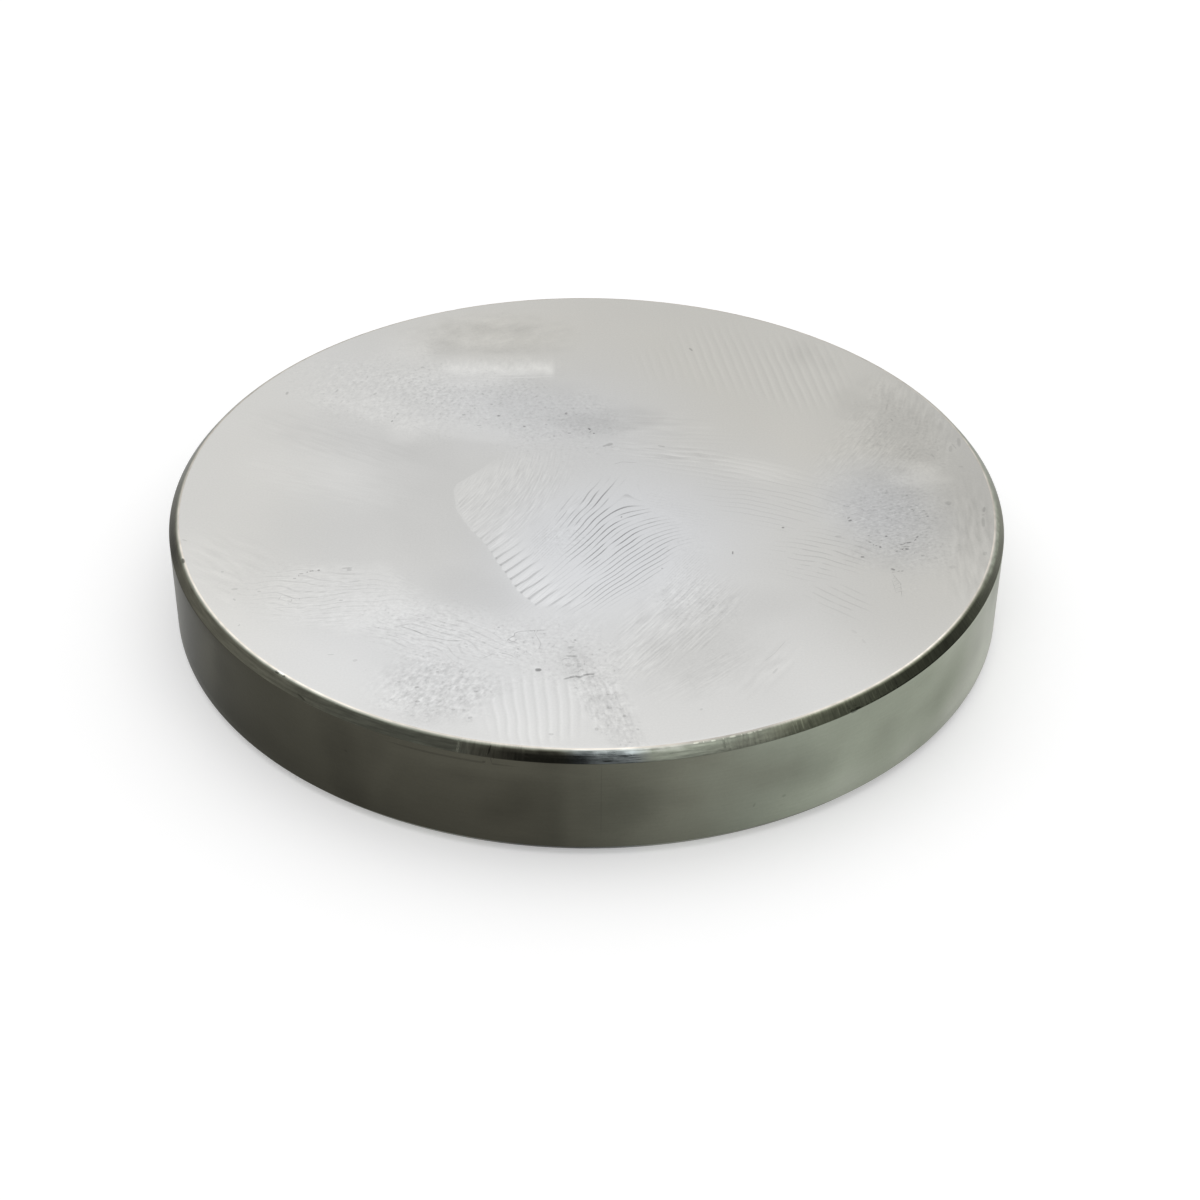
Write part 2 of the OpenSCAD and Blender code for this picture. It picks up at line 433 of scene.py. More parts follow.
# Pits and slits of the face: middle, half length, half width, direction of the length, darkness.
# A negative darkness is a light fleck.
PITS = [
    # in and round the swirl
    (1.8, -2.3, 0.1, 0.06, 70, 0.9), (3.82, -6.98, 0.07, 0.05, 0, 0.8), (7.47, -5.55, 0.19, 0.05, 86, 1),
    (10.2, -3.2, 0.09, 0.08, 0, 1), (1.2, 4.85, 0.3, 0.16, 35, 0.55), (0.95, 4.7, 0.16, 0.1, 20, 0.6),
    (4.05, 4.7, 0.28, 0.08, -20, 0.45), (1.6, 4.35, 0.24, 0.12, 10, -0.12),
    # upper half
    (6, 15.35, 0.26, 0.09, -65, 0.55), (-16.98, 10.1, 0.22, 0.1, 82, 0.55),
    (-9.5, 13.1, 0.16, 0.12, 0, 0.4), (-6.9, 7.9, 0.14, 0.11, 20, 0.5), (-4.95, 7.8, 0.12, 0.09, 0, 0.9),
    (-3.5, 6.7, 0.1, 0.09, 0, 0.8), (-6, 6.75, 0.18, 0.06, 10, 0.5), (-1.2, 8.1, 0.16, 0.1, 80, 0.6),
    (-1, 6, 0.12, 0.09, 0, 0.5), (-1.85, 5.7, 0.1, 0.08, 0, 0.6), (-6.3, 8.6, 0.1, 0.07, 60, 0.4),
    (0.1, 6.45, 0.14, 0.09, -60, 0.9), (0.35, 6, 0.08, 0.08, 0, 0.9), (-14.2, 10.4, 0.26, 0.07, 72, 0.35),
    (-13.8, 9.3, 0.14, 0.08, 60, 0.35), (-12, 10.1, 0.2, 0.09, 60, 0.4), (-11.7, 9.3, 0.12, 0.08, 0, 0.4),
    (-10.6, 7.9, 0.2, 0.08, 75, 0.4), (-10.85, 7.15, 0.14, 0.06, 75, 0.8), (-11.3, 7.7, 0.1, 0.07, 0, 0.4),
    (-5.4, 9, 0.1, 0.07, 0, 0.4), (-2.9, 9.9, 0.12, 0.07, 40, 0.35), (-2.3, 6.9, 0.1, 0.07, 0, 0.4),
    # left and lower left
    (-13.55, -7.3, 0.09, 0.08, 0, 1), (-13.95, -7.4, 0.08, 0.07, 0, 0.8),
    (-14.4, -7.62, 0.14, 0.07, 0, 0.6), (-14.7, -8.03, 0.11, 0.06, 0, 0.7),
    (-12.15, -7.1, 0.36, 0.09, 5, 0.45), (-12, -7.3, 0.16, 0.08, 0, 0.4), (-18.4, -7.5, 0.1, 0.08, 0, 0.4),
    (-17.6, -9, 0.22, 0.11, 10, 0.35), (-17.5, -9.9, 0.14, 0.07, -50, 0.45),
    (-16.35, -9.2, 0.12, 0.07, 0, 0.4), (-17, -12.05, 0.12, 0.06, 70, 0.4),
    (-20.7, -4.7, 0.2, 0.07, -30, 0.35), (-14.6, -15.75, 0.26, 0.05, -42, 0.35),
    (-14.75, -10, 0.16, 0.04, -10, 0.5), (-12.2, -9.9, 0.14, 0.06, 0, 0.5),
    (-12.3, -14.4, 0.22, 0.05, 5, 0.4), (-11.1, -14.85, 0.16, 0.12, 30, 0.3),
    # near the front
    (-2.29, -15.5, 0.2, 0.17, 0, 1.2), (5.4, -18.5, 0.12, 0.08, 60, 0.3), (-1.6, -20.4, 0.16, 0.11, 0, 0.4),
    (-0.55, -13.1, 0.07, 0.06, 0, 0.7), (-0.9, -13.6, 0.08, 0.06, 0, 0.6),
    (-4.3, -12.1, 0.08, 0.07, 0, 0.6), (-3.3, -13.85, 0.07, 0.06, 0, 0.7), (-4, -14.2, 0.1, 0.06, 0, 0.5),
    (-5.8, -13.7, 0.09, 0.06, 0, 0.5), (-8, -16.9, 0.14, 0.1, 0, 0.6), (-7.9, -18, 0.16, 0.11, 0, 0.6),
    (-5.2, -17.2, 0.12, 0.1, 0, 0.5), (-7.1, -15.7, 0.1, 0.08, 0, 0.5), (-8.9, -16.5, 0.12, 0.1, 0, 0.4),
    (-5.4, -19.2, 0.14, 0.1, 30, 0.5), (-6.2, -18.6, 0.12, 0.09, 0, 0.4), (1.1, -18.4, 0.16, 0.13, 0, 0.5),
    (1.8, -19, 0.14, 0.1, 60, 0.4), (-0.75, -13.7, 0.22, 0.12, 20, 0.4), (-0.7, -14.4, 0.36, 0.11, -4, 0.5),
    (-0.85, -15.1, 0.22, 0.2, 60, 0.32), (-0.35, -15.2, 0.14, 0.1, 0, 0.28), (0.5, -20, 0.12, 0.16, 0, 0.4),
    (2.4, -20, 0.12, 0.08, -60, 0.4),
    # right
    (13.75, -2.5, 0.15, 0.09, 40, 0.9), (13.7, -2.2, 0.1, 0.06, 0, 0.6), (15.5, -3.95, 0.09, 0.08, 0, 1),
    (15.1, -4.95, 0.08, 0.07, 0, 1), (14.9, -4.8, 0.07, 0.05, 0, 0.8), (16.45, -5.1, 0.13, 0.08, 0, 1),
    (15.9, -5.3, 0.1, 0.05, 30, 0.6), (16.6, -4.5, 0.2, 0.07, 20, 0.7), (16.2, -4.7, 0.12, 0.06, 0, 0.6),
    (14.1, -5.85, 0.13, 0.08, 0, 0.9), (15.55, -6.95, 0.16, 0.1, -40, 0.8), (16, -7.1, 0.1, 0.07, 30, 0.5),
    (17.1, -4, 0.16, 0.07, 60, 0.7), (17.85, -2.05, 0.09, 0.07, 0, 0.7), (14.6, -3.9, 0.08, 0.05, 0, 0.7),
    (17.1, -1.4, 0.1, 0.07, 0, 0.6), (14.6, -4.5, 0.12, 0.08, -40, 0.6), (17.2, -5.7, 0.14, 0.07, 20, 0.5),
    (13, -4, 0.22, 0.12, 0, 0.25), (15.1, -1.2, 0.12, 0.07, 0, 0.4), (19.1, -0.8, 0.26, 0.2, 40, 0.22),
    (20.9, -1.4, 0.34, 0.1, 78, 0.36), (20.7, -2.6, 0.6, 0.12, 84, 0.28),
    (20.4, -5.5, 0.24, 0.14, 70, 0.22), (18.6, -6.7, 0.22, 0.18, 30, 0.18),
    (20.4, 5.3, 0.62, 0.13, 86, 0.25), (19.85, 4.6, 0.46, 0.12, 84, 0.2), (18.8, 3.9, 0.24, 0.06, -72, 0.2),
    (16.95, 7.6, 0.22, 0.06, -75, 0.35), (16.8, 9, 0.44, 0.07, 76, 0.18), (20.2, 2.8, 0.18, 0.12, 0, 0.18),
    (13.1, -12.3, 0.24, 0.12, -50, 0.12), (13.5, -13.1, 0.24, 0.09, -70, 0.14),
    (9.05, -15.5, 0.32, 0.09, 60, 0.25),
]

# Shares of those sizes and of that darkness at which the pits are drawn
PIT_SIZE = 0.75
PIT_DARK = 0.85

# Fine cracks and single scratches: the points that each one follows, its half width and darkness
CRACKS = [
    ([(-9.1, -12.05), (-8.4, -12.4), (-7.7, -12.9), (-6.7, -13.2), (-6, -13.2)], 0.025, 0.45),
    ([(-3.3, -13.4), (-3.86, -13.1), (-3.5, -12.75), (-3.5, -12.5), (-3.1, -12.4), (-2, -12.3)], 0.022, 0.6),
    ([(-2.5, -12.6), (-2.2, -13.4), (-2.3, -13.9)], 0.019, 0.38),
    ([(-1, -16.2), (-0.55, -16), (-0.3, -16.05), (0, -15.85), (0.35, -15.8)], 0.065, 0.68),
    ([(15.5, -7.4), (15.8, -8.2), (15.75, -9.3)], 0.018, 0.38),
    ([(15.4, -7.9), (15.5, -9)], 0.018, 0.26),
    ([(-5, -14.6), (-4.3, -14.1), (-3.7, -14.3), (-3.4, -14.6)], 0.028, 0.3),
    ([(1.45, 2.85), (1.9, 3.08), (2.7, 3)], 0.019, 0.45),
    ([(9.7, -13.1), (9.1, -14.1), (8.6, -14.7)], 0.018, 0.26),
    ([(-14.1, -9.7), (-13.3, -9.6), (-12.9, -9.45), (-12.2, -9.35)], 0.019, 0.26),
    ([(-15.3, -9.9), (-15.2, -9.45), (-14.8, -9.6), (-14.4, -9.9)], 0.018, 0.34),
    ([(-15.3, -10.55), (-14.4, -10.5)], 0.018, 0.38),
]
# How far past a mark's border its darkness is stored
MARK_REACH = 0.35

# Surface map of the rim. Azimuths are in degrees, counted from +X towards +Y. In each list a tone is
# given at a few azimuths, and it runs evenly from one to the next. First the wall's tone, a painted
# reflection: dark at the front left and light on the right, standing in for what the metal wall reflects.
WALL_REFLECTION_TONE = [
    (0, 0.27), (30, 0.21), (60, 0.17), (120, 0.13), (188, 0.085), (203, 0.022), (212, 0.044), (224, 0.052),
    (236, 0.057), (248, 0.063), (260, 0.065), (266, 0.061), (269.5, 0.076), (272, 0.092), (279, 0.135),
    (284, 0.165), (289, 0.21), (294, 0.245), (304, 0.3), (309, 0.3), (319, 0.315), (329, 0.4), (337, 0.53),
    (348, 0.49), (355, 0.33),
]
# How much lighter or darker the wall's lower part is, as part of the painted reflection
WALL_LOW = [
    (0, 0.1), (60, 0), (190, -0.2), (212, -0.25), (222, -0.08), (250, -0.08), (264, 0.08), (290, 0.12),
    (300, 0.28), (345, 0.25),
]
# Heights between which that change fades out
WALL_LOW_FADE = (0.8, 3.2)
# Lighter and darker patches of the wall: azimuth and height, then the columns of AREAS
WALL_AREAS = [
    ((209.5, 2.6), (2, 1), 60, 0.7, 0.3, 0.34),
    ((212, 4.2), (1, 0.4), 50, 0.8, 0.3, 0.2),
    ((215.5, 3.9), (0.9, 1), 60, 0.7, 0.3, -0.14),
    ((221, 1.4), (4, 1.2), 0, 0.6, 0.2, -0.08),
    ((238.5, 2.8), (1, 4), 10, 0.7, 0.1, -0.16),
    ((244.5, 3.4), (0.5, 1.8), -20, 0.8, 0.2, 0.1),
    ((260.5, 2.8), (1.3, 0.9), 20, 0.7, 0.2, -0.14),
    ((268.3, 2.2), (0.4, 2.2), 0, 0.8, 0.1, 0.1),
    ((275, 2.8), (1.3, 1.1), 60, 0.7, 0.3, -0.16),
    ((283, 4.3), (1, 0.7), 0, 0.8, 0.3, 0.08),
    ((296.5, 3.6), (2.2, 1), -15, 0.8, 0.4, -0.13),
    ((305.5, 2.6), (1.6, 1), 60, 0.8, 0.2, 0.09),
    ((318, 3.9), (2.4, 0.6), 25, 0.8, 0.2, 0.11),
    ((324, 3), (1.6, 0.7), 25, 0.8, 0.2, -0.11),
    ((259, 5.1), (4.2, 0.5), 0, 0.8, 0, 0.22),
    ((346, 5), (3, 1), 0, 0.8, 0, -0.3),
    ((52, 2.4), (5, 1.2), 12, 0.8, 0.3, 0.12),
    ((84, 3.6), (4, 1), -10, 0.8, 0.3, -0.12),
    ((133, 2.8), (5, 1.4), 15, 0.8, 0.3, 0.12),
    ((165, 3.2), (3.4, 1.2), -15, 0.8, 0.3, -0.12),
    ((20, 3), (3.6, 1), 20, 0.8, 0.3, -0.1),
]
# The bevel's tone, a painted reflection: dark and bright stretches round the rim
BEVEL_REFLECTION_TONE = [
    (0, 0.2), (60, 0.18), (120, 0.14), (180, 0.07), (185, 0.045), (194, 0.017), (200, 0.068), (206, 0.078),
    (212, 0.089), (218, 0.098), (224, 0.103), (230, 0.12), (236, 0.135), (242, 0.165), (248, 0.185),
    (254, 0.157), (255.6, 0.135), (256.2, 0.105), (257.6, 0.105), (259, 0.066), (260.5, 0.046), (262, 0.02),
    (268, 0.015), (269.8, 0.024), (270.8, 0.072), (274, 0.094), (279, 0.225), (284, 0.25), (289, 0.2),
    (294, 0.168), (299, 0.122), (304, 0.1), (309, 0.067), (314, 0.038), (324, 0.027), (329.6, 0.033),
    (330.2, 0.043), (337, 0.055), (343, 0.093), (350, 0.145),
]
# The bevel's upper border is lighter, a painted glint: how much, round the rim
PAINTED_GLINT = [
    (0, 0.12), (20, 0), (190, 0.04), (206, 0.04), (212, 0), (252, 0.01), (262, 0.07), (266.5, 0.05),
    (269.5, 0.18), (271, 0.26), (274, 0.32), (279, 0.28), (284, 0.12), (289, 0.04), (299, 0.05),
    (309, 0.01), (334, 0), (338, 0.08), (343, 0.23), (350, 0.16),
]
# Where down the bevel that border ends
GLINT_FADE = (0.18, 0.46)
# The tone of the rounded edge between the face and the bevel, with its highlight line painted in
EDGE_HIGHLIGHT_TONE = [
    (0, 0.6), (90, 0.6), (180, 0.6), (200, 0.92), (230, 0.94), (240, 0.84), (250, 0.62), (258, 0.6),
    (264, 0.7), (270, 0.86), (276, 0.8), (282, 0.51), (288, 0.42), (294, 0.44), (300, 0.68), (308, 0.72),
    (316, 0.88), (324, 0.84), (332, 0.66), (340, 0.66), (346, 0.7),
]
# How far each of the first rings belongs to that edge
EDGE_SHARE = [1.0, 1.0, 0.40, 0.12]
# Rings of the upper bevel
BEVEL_LEVELS = FACE_EDGE_STEPS + BEVEL_STEPS + 1
# Streaks round the rim and streaks across the bevel: length and width
STREAK_ROUND = (1.3, 0.11)
STREAK_ACROSS = (0.8, 0.13)
# Stretches of the bevel whose streaks run across it, and the stretch with a cold silver sheen, a painted
# reflection
ACROSS = [(254.5, 262.5), (287.0, 334.0)]
COLD_MIDDLE = 272.5
COLD_HALF = 6.0

# Tints: of the dark, the middle and the light parts of the wall and the bevels, of the far side, of the
# bevel's right half, of the rounded edge, and of the cold stretch. They colour the painted reflections of
# the wall and the bevels, the edge's painted highlight and the cold stretch's painted sheen
OLIVE = (1.03, 0.99, 0.76)
SILVER = (0.92, 1.00, 0.81)
BRIGHT = (0.96, 1.00, 0.88)
PLAIN = (0.98, 1.00, 0.90)
MOSS = (0.93, 1.00, 0.70)
CREAM_HIGHLIGHT = (1.00, 0.94, 0.85)
PAINTED_COLD_SHEEN = (0.90, 1.00, 1.00)
# Tones between which the rim turns silver, and then bright
SILVER_TONES = (0.04, 0.26)
BRIGHT_TONES = (0.30, 0.50)
# Where round the rim a tint comes in and goes out, and the least share of silver on the right
SILVER_IN = (256, 284)
SILVER_SIDE = 0.6
FAR_IN = (2, 60)
FAR_OUT = (165, 195)
MOSS_IN = (288, 302)
MOSS_OUT = (330, 344)

# Marks on the rim: azimuth, distance down from the face's flat, half length along the rim, half
# height, turn, darkness. The long thin dark line at 318 degrees, along the bevel's lower border, is a
# painted shadow; the light flecks from 283.6 to 292 degrees near the face's edge are painted highlights,
# and the light and dark flecks from 271.8 to 275.2 degrees are a painted glitter of reflections.
RIM_MARKS = [
    (197.65, 0.12, 0.22, 0.08, 0, 0.7), (227.4, 0.1, 0.25, 0.07, 0, -1.2), (226.9, 0.2, 0.12, 0.05, 0, 0.8),
    (228.1, 0.17, 0.1, 0.05, 0, 0.7), (258.25, 0.42, 0.26, 0.04, 78, 0.7), (305.1, 0.72, 0.2, 0.1, 0, 0.8),
    (271.9, 2.9, 2.3, 0.03, 90, 0.12), (318, 0.72, 5, 0.03, 0, 0.8), (296.4, 0.45, 0.24, 0.03, 96, -0.4),
    (297.65, 0.42, 0.26, 0.04, 88, -0.6), (283.6, 0.14, 0.14, 0.04, 0, -1),
    (285.8, 0.16, 0.12, 0.04, 0, -1.2), (288.3, 0.14, 0.16, 0.05, 0, -1.2),
    (290.6, 0.16, 0.14, 0.04, 0, -0.9), (292, 0.14, 0.1, 0.04, 0, -0.8), (232.1, 0.62, 0.3, 0.04, -12, 0.5),
    (253.5, 1.1, 3.1, 0.06, 0, 0.28), (295.3, 4.35, 0.1, 0.07, 0, 0.35), (305.8, 1.05, 0.12, 0.08, 0, 0.35),
    (291.2, 4.4, 0.12, 0.06, 70, 0.3), (239, 2.6, 0.1, 0.07, 0, 0.25), (214, 1.6, 0.14, 0.08, 0, 0.25),
    (271.8, 0.4, 0.28, 0.05, 0, -0.5), (273.6, 0.52, 0.32, 0.05, 0, -0.7),
    (275.2, 0.36, 0.22, 0.04, 0, -0.6), (272.6, 0.62, 0.26, 0.04, 0, 0.6),
    (274.6, 0.46, 0.24, 0.04, 0, 0.6), (60, 2.2, 0.14, 0.08, 0, 0.3), (118, 3.4, 0.12, 0.07, 0, 0.3),
    (21, 1.7, 0.1, 0.07, 0, 0.3), (150, 0.45, 0.26, 0.035, 84, -0.4),
]
# A row of fine scratches across the bevel: where it starts and ends, their number, and the columns above
# from the second on
HATCH_FROM = 303.0
HATCH_TO = 312.0
HATCH_COUNT = 9
HATCH_MARK = (0.45, 0.24, 0.025, 86, -0.4)

# Nicks cut into the rim: azimuth, distance down from the face's flat, half length, half height, depth
NICKS = [
    (197.65, 0.1, 0.3, 0.14, 0.05),
    (227, 0.18, 0.26, 0.12, 0.04),
    (228.2, 0.18, 0.2, 0.12, 0.03),
    (305.1, 0.72, 0.3, 0.16, 0.04),
    (232.1, 0.62, 0.4, 0.1, 0.02),
    (112, 0.12, 0.3, 0.14, 0.03),
    (41, 0.7, 0.3, 0.14, 0.03),
]


def stroke_layer(x, y, patches, seed):
    """Place along and across the strokes, in strokes, and the strength of the patch that rules."""
    layer = np.zeros((len(x), 3))
    second = np.zeros_like(x)
    distance, clear = step_place(x, y)
    beside_step = 1.0 - clear * (1.0 - smooth_step(0.0, 0.2, distance))
    for index, patch in enumerate(patches):
        own_seed = seed + 3 * index
        mask = oval(x, y, patch.at, patch.half, patch.turn, patch.soft, PATCH_RAGGED, own_seed)
        strength = mask * patch.strength
        for at, half, turn, soft, amount in patch.more:
            mask = oval(x, y, at, half, turn, soft, PATCH_RAGGED, own_seed)
            strength = np.maximum(strength, amount * mask)
        if patch.right_of_step:
            strength = strength * beside_step
        u, v = turned(x - patch.at[0], y - patch.at[1], patch.grain)
        v = v * (1.0 + patch.fan * u)
        bent = u if patch.bend_from is None else np.maximum(u - patch.bend_from, 0.0)
        bend = patch.bend
        if patch.bend_side:
            bend = bend * (1.0 - smooth_step(*patch.bend_side, v))
        v = v + bend * bent * bent + patch.wander * patch.pitch * cloud(x, y, 1.2, own_seed + 1)
        strokes_along = u / patch.length + PATCH_SHIFT[0] * index
        strokes_across = v / patch.pitch + PATCH_SHIFT[1] * index
        place = np.stack([strokes_along, strokes_across, strength], -1)
        rules = strength > layer[:, 2]
        second = np.where(rules, layer[:, 2], np.maximum(second, strength))
        layer[rules] = place[rules]
    # strokes fade where two patches meet, because their places don't run on from one to the other
    layer[:, 2] -= second
    return layer


def sum_of_areas(x, y, areas, seed):
    total = np.zeros_like(x)
    for index, (at, half, turn, soft, ragged, change) in enumerate(areas):
        total += change * oval(x, y, at, half, turn, soft, ragged, seed + 2 * index)
    return total


def bright_bar(x, y):
    """The bright bar at the upper left: soft above and below, cut off sharply on the right."""
    ends = window(BAR_STARTS, BAR_ENDS, x)
    wavy = BAR_Y + 0.10 * cloud(x, 0 * x, 1.1, 501)
    core = np.exp(-((y - wavy) / BAR_HALF) ** 2)
    halo = HALO_GAIN * np.exp(-((y - wavy - HALO_UP) / (HALO_WIDE * BAR_HALF)) ** 2)
    return BAR_GAIN * ends * (core * (0.75 + 0.40 * cloud(1.6 * x, y, 0.6, 502)) + halo)


def step_place(x, y):
    """Distance to the right of the step, and how clear the step is there."""
    slope = np.gradient(np.array(STEP_X)) / np.gradient(np.array(STEP_Y))
    lean = np.interp(y, STEP_Y, slope)
    distance = (x - np.interp(y, STEP_Y, STEP_X)) / np.hypot(1.0, lean)
    return distance, window(STEP_STARTS, STEP_ENDS, y)


def comb_place(x, y):
    """Place across the comb's wedges, in wedges, and how strong the comb is there."""
    v = turned(x - COMB_GAP_AT[0], y - COMB_GAP_AT[1], COMB_GRAIN)[1]
    strength = window(COMB_STARTS, COMB_FADES, y) + COMB_FAINT * window(COMB_FADES, COMB_ENDS, y)
    return v / COMB_PITCH + 0.10 * cloud(x, y, 1.0, 511), strength


def mark_layer(x, y, marks):
    """Place within the nearest mark, in its half sizes, and its darkness, which ends near it."""
    nearest = np.full(x.shape, np.inf)
    layer = np.zeros((len(x), 3))
    for at_x, at_y, half_long, half_wide, turn, darkness in marks:
        along, across = turned(x - at_x, y - at_y, turn)
        gap = np.hypot(np.maximum(abs(along) - half_long, 0.0), np.maximum(abs(across) - half_wide, 0.0))
        place = np.stack([along / half_long, across / half_wide, darkness * (gap < MARK_REACH)], -1)
        closer = gap < nearest
        layer[closer] = place[closer]
        nearest[closer] = gap[closer]
    return layer


def pit_marks():
    return [(x, y, long * PIT_SIZE, wide * PIT_SIZE, turn, dark * PIT_DARK)
            for x, y, long, wide, turn, dark in PITS]


def crack_marks():
    """Each stretch of a crack is one long mark."""
    marks = []
    for points, half_width, darkness in CRACKS:
        for (x0, y0), (x1, y1) in zip(points, points[1:]):
            turn = math.degrees(math.atan2(y1 - y0, x1 - x0))
            half_long = math.hypot(x1 - x0, y1 - y0) / 2 + half_width
            marks.append(((x0 + x1) / 2, (y0 + y1) / 2, half_long, half_width, turn, darkness))
    return marks


def face_tone(x, y):
    distance, clear = step_place(x, y)
    left = clear * (1.0 - smooth_step(-0.1, 0.1, distance))
    tone = 1.0 + sum_of_areas(x, y, AREAS, 700) + bright_bar(x, y)
    tone = tone - STEP_SHADE * left * smooth_step(-SHADE_REACH, 0.0, distance)
    return tone + 0.006 * cloud(x, y, 2.2, 521)


def face_relief(x, y, ridges, streaks, grain, marks):
    """Depth of the face below its highest plane, in millimetres. The border stays level."""
    inner = 1.0 - smooth_step(DISC_R - LEVEL_FADE, DISC_R - LEVEL_BORDER, np.hypot(x, y))
    distance, clear = step_place(x, y)
    phase, comb = comb_place(x, y)
    depth = RIDGE_DEPTH * ridges[:, 2] * (1.0 + np.sin(2 * math.pi * ridges[:, 1]))
    depth += STREAK_DEPTH * streaks[:, 2] * (1.0 + cloud(streaks[:, 0] * 2.0, streaks[:, 1] * 0.5, 1.0, 531))
    depth += GRAIN_DEPTH * grain * (1.0 + cloud(x, y, 0.45, 532))
    left_of_step = 1.0 - smooth_step(-0.15, 0.10, distance)
    depth += STEP_DEPTH * clear * left_of_step * smooth_step(-STEP_REACH, 0.0, distance)
    in_comb = window((0.0, 0.15), (0.5 * COMB_LONG, COMB_LONG), distance)
    depth += COMB_DEPTH * comb * in_comb * (1.0 + np.cos(2 * math.pi * phase))
    hollow = 1.0 - smooth_step(0.4, 1.8, np.hypot(marks[:, 0], marks[:, 1]))
    depth += PIT_DEPTH * np.maximum(marks[:, 2], 0.0) * hollow
    return depth * inner


# The mesh

def square_to_disc(cells):
    """An even grid of cells on a unit disc, and the index of each of its border points in order."""
    side = np.linspace(-1.0, 1.0, cells + 1)
    a, b = np.meshgrid(side, side, indexing="ij")
    wide = np.abs(a) >= np.abs(b)
    safe_a = np.where(a == 0, 1.0, a)
    safe_b = np.where(b == 0, 1.0, b)
    radius = np.where(wide, a, b)
    angle = np.where(wide, (math.pi / 4) * (b / safe_a), math.pi / 2 - (math.pi / 4) * (a / safe_b))
    points = np.stack([radius * np.cos(angle), radius * np.sin(angle)], -1).reshape(-1, 2)
    index = np.arange((cells + 1) ** 2).reshape(cells + 1, cells + 1)
    border = np.concatenate([index[-1, :-1], index[::-1, -1][:-1], index[0, ::-1][:-1], index[:-1, 0]])
    return points, index, border


def grid_quads(index):
    return np.stack([index[:-1, :-1], index[1:, :-1], index[1:, 1:], index[:-1, 1:]], -1).reshape(-1, 4)


# Places on the unwrapped sheet: the upper face large, the lower face small beside it, and the rim in
# two strips along the bottom
TOP_UV = (0.385, 0.615)
TOP_UV_R = 0.370
LOW_UV = (0.880, 0.870)
LOW_UV_R = 0.108
STRIP_LEFT = 0.01
STRIP_WIDE = 0.98
STRIP_TOPS = (0.205, 0.102)


def flat_uv(points, middle, radius):
    return np.array(middle) + points[:, :2] / DISC_R * radius


def strip_uv(around, from_down, to_down):
    """Sheet places of one band of the rim, a quad for each step round it."""
    half = around // 2
    scale = STRIP_WIDE / (math.pi * DISC_R)
    k = np.arange(around)
    left = STRIP_LEFT + STRIP_WIDE * (k % half) / half
    right = left + STRIP_WIDE / half
    tops = np.where(k < half, STRIP_TOPS[0], STRIP_TOPS[1])
    high, low = tops - from_down * scale, tops - to_down * scale
    corners = [np.stack(pair, -1) for pair in ((left, high), (left, low), (right, low), (right, high))]
    return np.stack(corners, 1).reshape(-1, 2)


class Disc:
    """The mesh's points, and which of them lie on the upper face and on each ring of the rim."""

    def __init__(self):
        section, bands = rim_section()
        self.section = section
        self.down = np.concatenate([[0.0], np.cumsum(np.hypot(*np.diff(section, axis=0).T))])
        flat_r = section[0][0]

        top_unit, top_index, border = square_to_disc(TOP_CELLS)
        top = np.column_stack([top_unit * flat_r, np.full(len(top_unit), DISC_T)])
        self.top_count = len(top)
        self.around = len(border)
        self.angles = np.arctan2(top_unit[border, 1], top_unit[border, 0])
        rings = [self.ring(r, z) for r, z in section[1:]]
        low_unit, low_index, low_border = square_to_disc(BOTTOM_CELLS)
        low = np.column_stack([low_unit * (section[-1][0] - BOTTOM_INSET), np.zeros(len(low_unit))])
        self.points = np.concatenate([top] + rings + [low])
        ring_starts = self.top_count + self.around * np.arange(len(rings))
        self.rings = [border] + [start + np.arange(self.around) for start in ring_starts]
        self.low_index = low_index + self.top_count + self.around * len(rings)
        self.low_border = low_border + self.top_count + self.around * len(rings)
        self.collect_faces(top_index, bands)

    def ring(self, radius, height):
        return np.column_stack([radius * np.cos(self.angles), radius * np.sin(self.angles),
                                np.full(self.around, height)])

    def collect_faces(self, top_index, bands):
        top_quads = grid_quads(top_index)
        self.faces = top_quads.tolist()
        self.material = [SLOTS["face"]] * len(self.faces)
        self.uv = [flat_uv(self.points[top_quads.ravel()], TOP_UV, TOP_UV_R)]
        after = np.roll(np.arange(self.around), -1)
        for level, band in enumerate(bands):
            upper, lower = self.rings[level], self.rings[level + 1]
            self.faces += np.stack([upper, lower, lower[after], upper[after]], -1).tolist()
            self.material += [SLOTS[band]] * self.around
            self.uv.append(strip_uv(self.around, self.down[level], self.down[level + 1]))

        # the last ring has four points for each border point of the plainer lower face
        low_faces = []
        last = self.rings[-1]
        count = len(self.low_border)
        for k in range(count):
            fine = [int(last[(4 * k + step) % self.around]) for step in range(5)]
            coarse = [int(self.low_border[(k + 1) % count]), int(self.low_border[k])]
            low_faces.append(fine[::-1] + coarse[::-1])
        low_faces += [quad[::-1] for quad in grid_quads(self.low_index).tolist()]
        self.faces += low_faces
        self.material += [SLOTS["under"]] * len(low_faces)
        corners = [corner for face in low_faces for corner in face]
        self.uv.append(flat_uv(self.points[corners], LOW_UV, LOW_UV_R))

    def make(self, name):
        mesh = bpy.data.meshes.new(name)
        mesh.from_pydata((self.points * MM).tolist(), [], self.faces)
        mesh.polygons.foreach_set("material_index", self.material)
        mesh.polygons.foreach_set("use_smooth", [True] * len(self.faces))
        sheet = mesh.uv_layers.new(name="OFBake")
        sheet.data.foreach_set("uv", np.concatenate(self.uv).astype(np.float32).ravel())
        piece = bpy.data.objects.new(name, mesh)
        bpy.context.scene.collection.objects.link(piece)
        return piece


